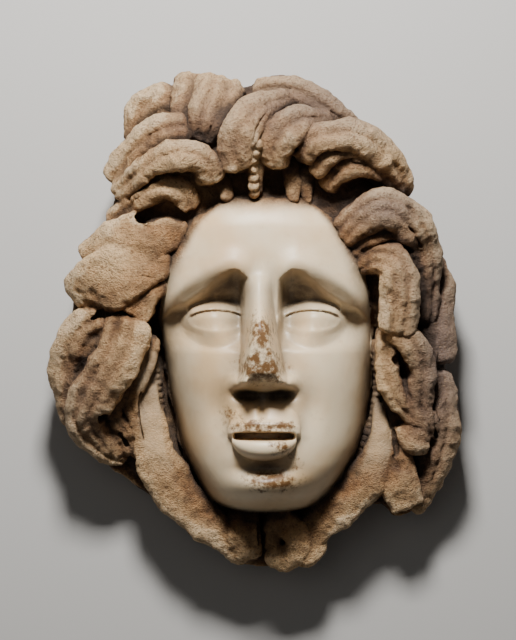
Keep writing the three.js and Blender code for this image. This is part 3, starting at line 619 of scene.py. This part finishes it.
def weather_tree():
    """Moves the rough stone in and out: broken chisel forms, grain and pits, each from its real size."""
    inputs = {
        "Broken size": 17 * MM,
        "Broken depth": 1.2 * MM,
        "Grain size": 2.8 * MM,
        "Grain depth": 0.5 * MM,
        "Pit size": 7 * MM,
        "Pit depth": 1.2 * MM,
    }
    nodes, given = geometry_nodes("Weathered stone", inputs)
    place = nodes.add("GeometryNodeInputPosition")[0]
    normal = nodes.add("GeometryNodeInputNormal")[0]
    rough = nodes.add("GeometryNodeInputNamedAttribute", {"Name": "rough"})[0]

    def texture(label, kind, output, **detail):
        scale = nodes.math("DIVIDE", 1.0, given[label + " size"])
        return nodes.add(kind, {"Vector": place, "Scale": scale, **detail})[output]

    moves = []
    for label, kind, output, level in (
        ("Broken", "ShaderNodeTexVoronoi", "Distance", BREAK_LEVEL),
        ("Grain", "ShaderNodeTexNoise", 0, 0.5),
    ):
        wave = nodes.math("SUBTRACT", texture(label, kind, output, Detail=2.0), level)
        swing = nodes.times(wave, 2.0)
        moves.append(nodes.times(swing, given[label + " depth"]))
    hollow = nodes.step(texture("Pit", "ShaderNodeTexVoronoi", "Distance"), 0.0, 0.35, 1.0, 0.0)
    pit = nodes.times(hollow, given["Pit depth"])
    total = nodes.math("SUBTRACT", nodes.math("ADD", *moves), pit)
    length = nodes.times(total, rough)
    offset = nodes.add("ShaderNodeVectorMath", {0: normal, "Scale": length}, operation="SCALE")[0]
    moved = nodes.add("GeometryNodeSetPosition", {"Geometry": given["Geometry"], "Offset": offset})[0]
    return finished(nodes, given, moved)


def baked(obj, kind, inputs=None, **settings):
    """The object's mesh with one modifier worked in, its tree's inputs filled by their labels."""
    modifier = obj.modifiers.new(kind, kind)
    for name, value in settings.items():
        setattr(modifier, name, value)
    if inputs:
        for item in modifier.node_group.interface.items_tree:
            if item.item_type == "SOCKET" and item.in_out == "INPUT" and item.name in inputs:
                modifier[item.identifier] = inputs[item.name]
    bpy.context.view_layer.update()
    shown = obj.evaluated_get(bpy.context.evaluated_depsgraph_get())
    mesh = bpy.data.meshes.new_from_object(shown)
    obj.modifiers.clear()
    return mesh


def worked(obj, kind, inputs=None, **settings):
    """Works one modifier into the object's own mesh."""
    old = obj.data
    obj.data = baked(obj, kind, inputs, **settings)
    bpy.data.meshes.remove(old)


def point_vectors(mesh, name="co"):
    """The place of each point of a mesh, or another of its vectors."""
    values = np.empty(len(mesh.vertices) * 3)
    mesh.vertices.foreach_get(name, values)
    return values.reshape(-1, 3)


def mesh_arrays(mesh):
    """A mesh's points and its faces."""
    return point_vectors(mesh), [tuple(face.vertices) for face in mesh.polygons]


def linked(name, data):
    """A new object in the scene."""
    obj = bpy.data.objects.new(name, data)
    bpy.context.scene.collection.objects.link(obj)
    return obj


def swept(tree, points, widths, values):
    """What a tree makes of a curve through the points, as points and faces."""
    curve = bpy.data.curves.new("stroke", "CURVE")
    curve.dimensions = "3D"
    spline = curve.splines.new("POLY")
    spline.points.add(len(points) - 1)
    spline.points.foreach_set("co", np.column_stack([points, np.ones(len(points))]).ravel())
    spline.points.foreach_set("radius", widths)
    obj = linked("stroke", curve)
    mesh = baked(obj, "NODES", values, node_group=tree)
    arrays = mesh_arrays(mesh)
    bpy.data.objects.remove(obj)
    bpy.data.meshes.remove(mesh)
    return arrays


def lock_arrays(form, rooted=1.0, depth=0.0):
    """One lock, snake or drill stroke of the tables, as points and faces."""
    tree = bpy.data.node_groups.get("Carved lock") or lock_tree()
    points = even_path(form["path"], PATH_SPACING)
    values = {
        "Thickness": form["thick"],
        "Tilt": math.radians(form["tilt"]),
        "Strands": max(2, round(form["half"] / STRAND_HALF_WIDTH)),
        "Strand depth": depth,
        "Rooted": rooted,
    }
    return swept(tree, points, lock_widths(len(points), form["half"], form["tips"]), values)


def face_arrays():
    """The face as a closed block, finer than the frame's."""
    rows = np.linspace(LEFT_EDGE[0][0], LEFT_EDGE[-1][0], FACE_ROWS)
    shares = np.linspace(0, 1, FACE_COLUMNS)
    row_grid, share_grid = np.meshgrid(rows, shares, indexing="ij")
    x_grid = mix(along(LEFT_EDGE, row_grid), along(RIGHT_EDGE, row_grid), share_grid)
    top = np.dstack([x_grid * STEP, row_grid * STEP, face_height(x_grid, row_grid) * RISE])
    bottom = top.copy()
    bottom[..., 2] = CHANNEL_HEIGHT * 0.4
    return grid_block(top.reshape(-1, 3), bottom.reshape(-1, 3), *row_grid.shape)


def grid_block(top, bottom, rows, columns):
    """A closed block between two grids of the same shape."""
    index = np.arange(rows * columns).reshape(rows, columns)
    quads = np.dstack([index[:-1, :-1], index[:-1, 1:], index[1:, 1:], index[1:, :-1]]).reshape(-1, 4)
    count = rows * columns
    rim = np.concatenate([index[0, :], index[1:, -1], index[-1, -2::-1], index[-2:0:-1, 0]])
    following = np.roll(rim, -1)
    walls = np.column_stack([rim, rim + count, following + count, following])
    faces = np.vstack([quads, quads[:, ::-1] + count, walls])
    return np.vstack([top, bottom]), [tuple(int(v) for v in face) for face in faces]


def bed_height(row, share):
    """Height of the bed at a share of the way from the face's edge to the block's edge."""
    crest = along(BED_CREST, row)
    inner = mix(along(BED_BY_FACE, row), crest, ease(0.06, 0.35, share))
    outer = mix(crest, RIM_HEIGHT / RISE + along(BED_EDGE, row), ease(0.4, 1, share))
    return np.where(share < 0.35, inner, outer)


def bed_arrays():
    """The block behind the hair: rings from its middle to its outline, over a flat back."""
    edge = smooth_path(OUTLINE, 6, closed=True)
    middle = np.array((BED_HOLLOW["x"], BED_HOLLOW["y"]), float)
    half = np.array((BED_HOLLOW["half_x"], BED_HOLLOW["half_y"]), float)
    inner = 1 / np.linalg.norm((edge - middle) / half, axis=1)
    rings = []
    for share in np.linspace(0, 1, BED_RINGS):
        out = mix(inner * 0.9, 1, share)[:, None]
        flat = mix(middle, edge, out)
        height = bed_height(flat[:, 1], np.clip((out[:, 0] - inner) / (1 - inner), 0, 1))
        rings.append(np.column_stack([flat * STEP, height * RISE]))
    foot = rings[-1].copy()
    foot[:, 2] = 0
    rings.append(foot)
    count = len(edge)
    points = np.vstack(rings)
    faces = [tuple(range(count)), tuple(range(len(points) - count, len(points)))]
    for start in range(0, len(points) - count, count):
        for i in range(count):
            j = (i + 1) % count
            faces.append((start + i, start + count + i, start + count + j, start + j))
    return points, faces


def joined_object(name, parts):
    """One mesh object of many closed pieces."""
    points, faces, start = [], [], 0
    for part_points, part_faces in parts:
        points.append(part_points)
        faces += [tuple(v + start for v in face) for face in part_faces]
        start += len(part_points)
    mesh = bpy.data.meshes.new(name)
    mesh.from_pydata(np.vstack(points).tolist(), [], faces)
    mesh.validate()
    return linked(name, mesh)


def point_values(obj, name, values):
    """Stores one number for each point of a mesh."""
    layer = obj.data.attributes.get(name) or obj.data.attributes.new(name, "FLOAT", "POINT")
    layer.data.foreach_set("value", np.asarray(values, float))


def on_grid(places):
    """Columns, rows and heights of places on the carving's grid."""
    return places[:, 0] / STEP, places[:, 1] / STEP, places[:, 2] / RISE


def face_gap(places):
    """How far each point is over or under the carved face, and the face's height there, as grid heights."""
    x, row, height = on_grid(places)
    skin = face_height(x, row)
    outside = (edge_share(x, row) > 0.995) | (row < LEFT_EDGE[0][0]) | (row > LEFT_EDGE[-1][0])
    return np.where(outside, 50, np.abs(height - skin)), skin


def patches(x, row, table):
    """The strongest of several soft spots: column, row, half width, half height and strength."""
    spots = [
        strength * hill(x - at_x, wide) * hill(row - at_row, high)
        for at_x, at_row, wide, high, strength in table
    ]
    return np.maximum.reduce(spots)


def distance_to_paths(places, forms):
    """How far each point lies from the nearest path, looking straight down, in metres."""
    line = np.vstack([even_path(form["path"], 2 * MM) for form in forms])
    tree = kdtree.KDTree(len(line))
    for index, (x, y, _) in enumerate(line):
        tree.insert((x, y, 0), index)
    tree.balance()
    return np.array([tree.find((x, y, 0))[2] for x, y, _ in places])


def polish_of(places):
    """1 on the polished face, less on the smooth snakes, 0 on the rough hair."""
    gap, _ = face_gap(places)
    x, row, _ = on_grid(places)
    face = (1 - ease(1.2, 3.5, gap)) * (1 - ease(100, 122, row))
    face *= 1 - ease(0.8, 0.97, edge_share(x, row)) * ease(30, 70, row)
    snakes = [SNAKES_AND_KNOT["snake_left"], SNAKES_AND_KNOT["snake_right"]]
    near = distance_to_paths(places, snakes) / STEP
    snake = SNAKE_POLISH * (1 - ease(9, 14, near)) * ease(-165, -120, row)
    return np.maximum(face, snake)


def blurred(field, cells):
    """A height field smoothed twice over this many cells each way."""
    for axis in (0, 0, 1, 1):
        shifts = range(-cells, cells + 1)
        field = sum(np.roll(field, shift, axis) for shift in shifts) / (2 * cells + 1)
    return field


def height_field(places, cell):
    """The highest point over each cell of a plan of the mask, with a margin round it."""
    margin = 10
    columns = np.round((places[:, 0] + MASK_HEIGHT / 2) / cell).astype(int) + margin
    rows = np.round((places[:, 1] + MASK_HEIGHT / 2) / cell).astype(int) + margin
    size = round(MASK_HEIGHT / cell) + 2 * margin + 2
    field = np.zeros((size, size))
    np.maximum.at(field, (rows, columns), places[:, 2])
    for _ in range(2):
        near = np.maximum.reduce([np.roll(field, s, a) for s in (-1, 1) for a in (0, 1)])
        field = np.where(field > 0, field, near)
    return field, rows, columns


def depth_below(places, field, rows, columns, cells, reach):
    """How far each point lies under the mean height round it, as a share of the reach."""
    return np.clip((blurred(field, cells)[rows, columns] - places[:, 2]) / reach, -1, 1)


def colour_layers(places):
    """Where the stone is polished, dirty or in painted shade, worn, stained or ashen, from 0 to 1 at each
    point.
    """
    x, row, _ = on_grid(places)
    polish = polish_of(places)
    field, rows, columns = height_field(places, 1.4 * MM)
    wide = depth_below(places, field, rows, columns, 8, 7 * MM)
    close = depth_below(places, field, rows, columns, 2, 2.5 * MM)
    # Darker in the hollows between the locks and in the face: part dirt, part painted shade.
    hollow = np.clip(wide, 0, 1) * 0.85 + np.clip(close, 0, 1) * 0.45
    # Painted shade: darker towards the face's edge below the brows, and in the face's hollows.
    painted_shade = 0.4 * ease(0.66, 1, edge_share(x, row)) * (1 - ease(-100, 40, row))
    painted_shade = np.maximum(painted_shade, patches(x, row, FACE_PAINTED_SHADE))
    dirt_and_shade = hollow * mix(1, 0.42, polish) + polish * painted_shade
    pale = patches(x, row, PALE_PATCHES).clip(0, 1)
    dirt_and_shade = np.clip(dirt_and_shade, 0, 0.92) * (1 - 0.6 * pale)
    dirt_and_shade *= ease(10 * MM, 22 * MM, places[:, 2])
    crest = np.clip(-wide, 0, 1) * 0.6 + np.clip(-close, 0, 1) * 0.6
    return {
        "polish": polish,
        "dirt_and_shade": dirt_and_shade,
        "worn": np.maximum(crest, pale).clip(0, 1) * (1 - polish),
        "stain": patches(x, row, STAINS).clip(0, 1),
        "ashen": patches(x, row, ASHEN_PATCHES).clip(0, 1),
    }


def drop_crumbs(obj):
    """Keeps all that hangs together with the lowest point and drops what the drilling cut loose."""
    work = bmesh.new()
    work.from_mesh(obj.data)
    front = [min(work.verts, key=lambda point: point.co.z)]
    kept = set(front)
    while front:
        point = front.pop()
        new = {edge.other_vert(point) for edge in point.link_edges} - kept
        kept |= new
        front += new
    crumbs = [point for point in work.verts if point not in kept]
    bmesh.ops.delete(work, geom=crumbs, context="VERTS")
    work.to_mesh(obj.data)
    work.free()


def snap_face(obj):
    """Gives the welded face its exact carved height again, where it is open to the air."""
    places = point_vectors(obj.data)
    gap, skin = face_gap(places)
    up = point_vectors(obj.data, "normal")[:, 2]
    share = (1 - ease(1.5, 3, gap)) * ease(0.05, 0.3, up)
    places[:, 2] = mix(places[:, 2], skin * RISE, share)
    obj.data.vertices.foreach_set("co", places.ravel())
    obj.data.update()


def linear(colour):
    """An sRGB hex colour as the linear values that a shader takes."""
    values = (int(colour[i : i + 2], 16) / 255 for i in (1, 3, 5))
    return tuple(v / 12.92 if v <= 0.04045 else ((v + 0.055) / 1.055) ** 2.4 for v in values)


def marble_material(colours, finish):
    """Old white marble: polished and cream on the face, rough and brown with earth in the hair, and dirt with
    painted shade in the hollows.
    """
    material = bpy.data.materials.new("weathered_white_marble")
    material.use_nodes = True
    nodes = Nodes(material.node_tree)
    place = nodes.add("ShaderNodeTexCoord")["Object"]
    step = nodes.step

    def layer(name):
        return nodes.add("ShaderNodeAttribute", attribute_name=name, attribute_type="GEOMETRY")["Fac"]

    def clouds(size, detail, roughness=0.5):
        links = {"Vector": place, "Scale": 1 / size, "Detail": detail, "Roughness": roughness}
        return nodes.add("ShaderNodeTexNoise", links)[0]

    def tinted(under, share, name):
        """A colour with a share of one of the mask's own colours over it."""
        return nodes.mix(share, under, (*getattr(colours, name), 1))

    polish, dirt_and_shade, stain, worn = layer("polish"), layer("dirt_and_shade"), layer("stain"), layer("worn")
    broad = clouds(38 * MM, 3.0)
    middling = clouds(9 * MM, 4.0, 0.6)
    fine = clouds(1.6 * MM, 3.0, 0.65)

    cream = tinted((*colours.face, 1), step(broad, 0.35, 0.7), "face_warm")
    cream = tinted(cream, step(middling, 0.6, 0.85, 0.0, 0.5), "face_shade")
    tan = tinted((*colours.hair, 1), step(middling, 0.3, 0.7), "hair_dark")
    tan = tinted(tan, step(broad, 0.45, 0.75, 0.0, 0.7), "hair_light")
    tan = tinted(tan, worn, "hair_light")
    tan = nodes.mix(step(worn, 0.6, 1.0, 0.0, 0.45), tan, cream)
    tan = tinted(tan, layer("ashen"), "ashen")
    tan = tinted(tan, step(fine, 0.48, 0.7, 0.0, 0.6), "hair_dark")
    tan = tinted(tan, step(clouds(1.1 * MM, 2.0), 0.6, 0.72, 0.0, 0.3), "face_warm")
    rust = step(clouds(3.5 * MM, 4.0, 0.75), 0.56, 0.7, 0.0, 0.55)
    tan = tinted(tan, nodes.times(rust, step(broad, 0.4, 0.6)), "stain")
    stone = nodes.mix(polish, tan, cream)
    # Dirt and painted shade: the crevice colour laid over the hollows, more in some clouds than in others.
    dirt_and_shade_share = nodes.times(dirt_and_shade, step(middling, 0.2, 0.6, 0.7, 1.0))
    stone = tinted(stone, dirt_and_shade_share, "crevice_dirt_and_shade")
    blotch = nodes.math("ADD", clouds(4 * MM, 4.0, 0.7), nodes.times(stain, 0.28))
    blotch = nodes.times(step(blotch, 0.58, 0.84), step(stain, 0.02, 0.4))
    gloss = {"Value": polish, "To Min": finish.hair_roughness, "To Max": finish.face_roughness}
    grain = nodes.math("ADD", fine, nodes.times(clouds(0.8 * MM, 3.0, 0.7), 0.8))
    bump = {"Strength": step(polish, 0.0, 1.0, 1.0, 0.05), "Distance": 1.4 * MM, "Height": grain}
    shader = {
        "Base Color": tinted(stone, blotch, "stain"),
        "Roughness": nodes.add("ShaderNodeMapRange", gloss)[0],
        "IOR": 1.5,
        "Subsurface Weight": finish.glow,
        "Subsurface Radius": (1.0, 0.7, 0.45),
        "Subsurface Scale": 3 * MM,
        "Normal": nodes.add("ShaderNodeBump", bump)[0],
    }
    for name, source in shader.items():
        nodes.fill(material.node_tree.nodes["Principled BSDF"].inputs[name], source)
    return material


def area_light(name, place, size, power):
    """A soft square white light that faces the middle of the mask."""
    light = bpy.data.lights.new(name, "AREA")
    light.size = size
    light.energy = power
    obj = linked(name, light)
    obj.location = place
    obj.rotation_euler = (Vector((0, 0, MASK_DEPTH / 2)) - obj.location).to_track_quat("-Z", "Y").to_euler()


def number_property(name, description, value, unit="NONE"):
    return FloatProperty(name=name, description=description, default=value, unit=unit)


def colour_property(name, description, value):
    return FloatVectorProperty(
        name=name, description=description, subtype="COLOR", size=3, default=linear(value)
    )


class GORGON_PG_sizes(PropertyGroup):
    weld: number_property("Weld size", "Finest step of the carved skin", 0.75 * MM, "LENGTH")
    ridge_depth: number_property("Strand depth", "Depth of a lock's strands as a share of its width", 0.21)
    broken_depth: number_property("Broken depth", "How uneven the broken hair is", 1.6 * MM, "LENGTH")
    grain_depth: number_property("Grain depth", "How deep the rough grain of the hair is", 0.6 * MM, "LENGTH")
    pit_depth: number_property("Pit depth", "Depth of the pits in the hair", 0.35 * MM, "LENGTH")
    most_triangles: IntProperty(
        name="Most triangles", description="The finished skin is thinned to this many", default=190000
    )


class GORGON_PG_colours(PropertyGroup):
    face: colour_property("Face", "Polished marble of the face", "#F1DBB6")
    face_warm: colour_property("Warm face", "Where the polished marble has yellowed", "#E2BF90")
    face_shade: colour_property("Dull face", "Faint brown clouds in the polished marble", "#C8A274")
    hair: colour_property("Hair", "Weathered marble of the hair", "#A6774A")
    hair_dark: colour_property("Dark hair", "Earth held in the grain", "#5F3F26")
    hair_light: colour_property("Light hair", "Worn crests of the locks", "#DDB482")
    # The crevice colour is laid over the hollows as dirt and as painted shade.
    crevice_dirt_and_shade: colour_property("Crevices", "Dirt in the drilled grooves", "#3A2B21")
    stain: colour_property("Stains", "Rust-brown stains on nose, lips and chin", "#765431")
    ashen: colour_property("Ashen edge", "Grey-pink broken stone at the right edge", "#7C675A")


class GORGON_PG_finish(PropertyGroup):
    face_roughness: number_property("Face roughness", "Gloss of the polished face", 0.42)
    hair_roughness: number_property("Hair roughness", "Gloss of the rough hair", 0.9)
    glow: number_property("Glow", "How far light enters the marble", 0.12)


class GORGON_OT_block(Operator):
    """Makes the face and the block behind the hair"""

    bl_idname = "gorgon.block"
    bl_label = "Face and block"

    def execute(self, context):
        joined_object("block", [bed_arrays(), face_arrays()])
        return {"FINISHED"}


class GORGON_OT_hair(Operator):
    """Sweeps the locks of the hair and the struts at the hairline"""

    bl_idname = "gorgon.hair"
    bl_label = "Hair"

    def execute(self, context):
        depth = context.scene.gorgon_sizes.ridge_depth
        parts = []
        for group in (CROWN_LOCKS, LEFT_LOCKS, RIGHT_LOCKS):
            for name, form in group.items():
                parts.append(lock_arrays(form, depth=0.0 if name in WORN_LOCKS else depth))
        parts += [lock_arrays(strut) for strut in HAIRLINE_STRUTS.values()]
        joined_object("hair", parts)
        return {"FINISHED"}


class GORGON_OT_snakes(Operator):
    """Sweeps the two snakes and their knot and sets the rows of beads"""

    bl_idname = "gorgon.snakes"
    bl_label = "Snakes and knot"

    def execute(self, context):
        parts = [lock_arrays(snake) for snake in SNAKES_AND_KNOT.values()]
        tree = bead_row_tree()
        for path, beads in BEAD_ROWS:
            points = even_path(path, PATH_SPACING)
            parts.append(swept(tree, points, np.ones(len(points)), beads))
        joined_object("snakes", parts)
        return {"FINISHED"}


class GORGON_OT_drill(Operator):
    """Welds the carving into one block and takes out what the drill took"""

    bl_idname = "gorgon.drill"
    bl_label = "Drilled work"

    def execute(self, context):
        weld = {"mode": "VOXEL", "voxel_size": context.scene.gorgon_sizes.weld}
        cuts = [lock_arrays(stroke, rooted=0.0) for stroke in (*DRILL_CUTS.values(), *FINE_CUTS.values())]
        cutter = joined_object("drill", cuts)
        worked(cutter, "REMESH", **weld)
        pieces = [bpy.data.objects[name] for name in ("block", "hair", "snakes")]
        mask = joined_object("carved_mask", [mesh_arrays(piece.data) for piece in pieces])
        worked(mask, "REMESH", **weld)
        worked(mask, "BOOLEAN", operation="DIFFERENCE", solver="MANIFOLD", object=cutter)
        drop_crumbs(mask)
        for piece in (*pieces, cutter):
            bpy.data.objects.remove(piece)
        if len(mask.data.vertices) < FEWEST_POINTS:
            raise RuntimeError("the drilled block is empty")
        return {"FINISHED"}


class GORGON_OT_weather(Operator):
    """Restores the face's exact height and breaks, pits and wears the rest"""

    bl_idname = "gorgon.weather"
    bl_label = "Wear and breaks"

    def execute(self, context):
        sizes = context.scene.gorgon_sizes
        mask = bpy.data.objects["carved_mask"]
        worked(mask, "SMOOTH", iterations=1)
        snap_face(mask)
        places = point_vectors(mask.data)
        # The face stays smooth, and so does the sawn foot of the walls.
        rough = (1 - polish_of(places)) * ease(2 * MM, 12 * MM, places[:, 2])
        point_values(mask, "rough", rough)
        depths = {
            "Broken depth": sizes.broken_depth,
            "Grain depth": sizes.grain_depth,
            "Pit depth": sizes.pit_depth,
        }
        worked(mask, "NODES", depths, node_group=weather_tree())
        triangles = sum(len(face.vertices) - 2 for face in mask.data.polygons)
        worked(mask, "DECIMATE", ratio=min(1.0, sizes.most_triangles / triangles))
        mask.data.validate()
        for name, values in colour_layers(point_vectors(mask.data)).items():
            point_values(mask, name, values)
        mask.data.polygons.foreach_set("use_smooth", [True] * len(mask.data.polygons))
        return {"FINISHED"}


class GORGON_OT_marble(Operator):
    """Gives the mask its weathered marble and puts it in the frame's place"""

    bl_idname = "gorgon.marble"
    bl_label = "Marble"

    def execute(self, context):
        scene = context.scene
        mask = bpy.data.objects["carved_mask"]
        mask.data.materials.clear()
        mask.data.materials.append(marble_material(scene.gorgon_colours, scene.gorgon_finish))
        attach(mask, "root")
        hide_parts(NODE)
        return {"FINISHED"}


class GORGON_OT_stage(Operator):
    """Adds the pale floor, the lights and the camera over the lying mask"""

    bl_idname = "gorgon.stage"
    bl_label = "Stage"

    def execute(self, context):
        scene = context.scene
        corners = [(x * FLOOR_HALF, y * FLOOR_HALF, 0) for x, y in ((-1, -1), (1, -1), (1, 1), (-1, 1))]
        floor = joined_object("floor", [(np.array(corners), [(0, 1, 2, 3)])])
        material = bpy.data.materials.new("pale_floor")
        material.use_nodes = True
        shader = material.node_tree.nodes["Principled BSDF"]
        shader.inputs["Base Color"].default_value = (*linear(FLOOR_COLOUR), 1)
        shader.inputs["Roughness"].default_value = 0.8
        floor.data.materials.append(material)
        for light in LIGHTS:
            area_light(*light)
        world = bpy.data.worlds.new("studio")
        world.use_nodes = True
        background = world.node_tree.nodes["Background"]
        background.inputs["Color"].default_value = (1, 1, 1, 1)
        background.inputs["Strength"].default_value = WORLD_LIGHT
        scene.world = world
        camera = bpy.data.cameras.new("camera")
        camera.sensor_width = 36
        camera.lens = camera.sensor_width * (CAMERA_HEIGHT - OUTLINE_LEVEL) / (IMAGE_ROWS * STEP)
        camera.clip_start = 0.05
        scene.camera = linked("camera", camera)
        scene.camera.location = (0, 0, CAMERA_HEIGHT)
        return {"FINISHED"}


class GORGON_PT_panel(Panel):
    bl_idname = "GORGON_PT_panel"
    bl_label = "Gorgon Mask"
    bl_space_type = "VIEW_3D"
    bl_region_type = "UI"
    bl_category = "Gorgon Mask"

    def draw(self, context):
        for group in GROUPS:
            settings = getattr(context.scene, group)
            for name in settings.__annotations__:
                self.layout.prop(settings, name)
        for operator in OPERATORS:
            self.layout.operator(operator.bl_idname)


OPERATORS = (
    GORGON_OT_block,
    GORGON_OT_hair,
    GORGON_OT_snakes,
    GORGON_OT_drill,
    GORGON_OT_weather,
    GORGON_OT_marble,
    GORGON_OT_stage,
)
GROUPS = {
    "gorgon_sizes": GORGON_PG_sizes,
    "gorgon_colours": GORGON_PG_colours,
    "gorgon_finish": GORGON_PG_finish,
}


def register():
    for kind in (*GROUPS.values(), *OPERATORS, GORGON_PT_panel):
        bpy.utils.register_class(kind)
    for name, group in GROUPS.items():
        setattr(bpy.types.Scene, name, PointerProperty(type=group))


def unregister():
    for name in GROUPS:
        delattr(bpy.types.Scene, name)
    for kind in reversed((*GROUPS.values(), *OPERATORS, GORGON_PT_panel)):
        bpy.utils.unregister_class(kind)


def main():
    register()
    for operator in OPERATORS:
        family, name = operator.bl_idname.split(".")
        getattr(getattr(bpy.ops, family), name)()


if __name__ == "__main__":
    main()
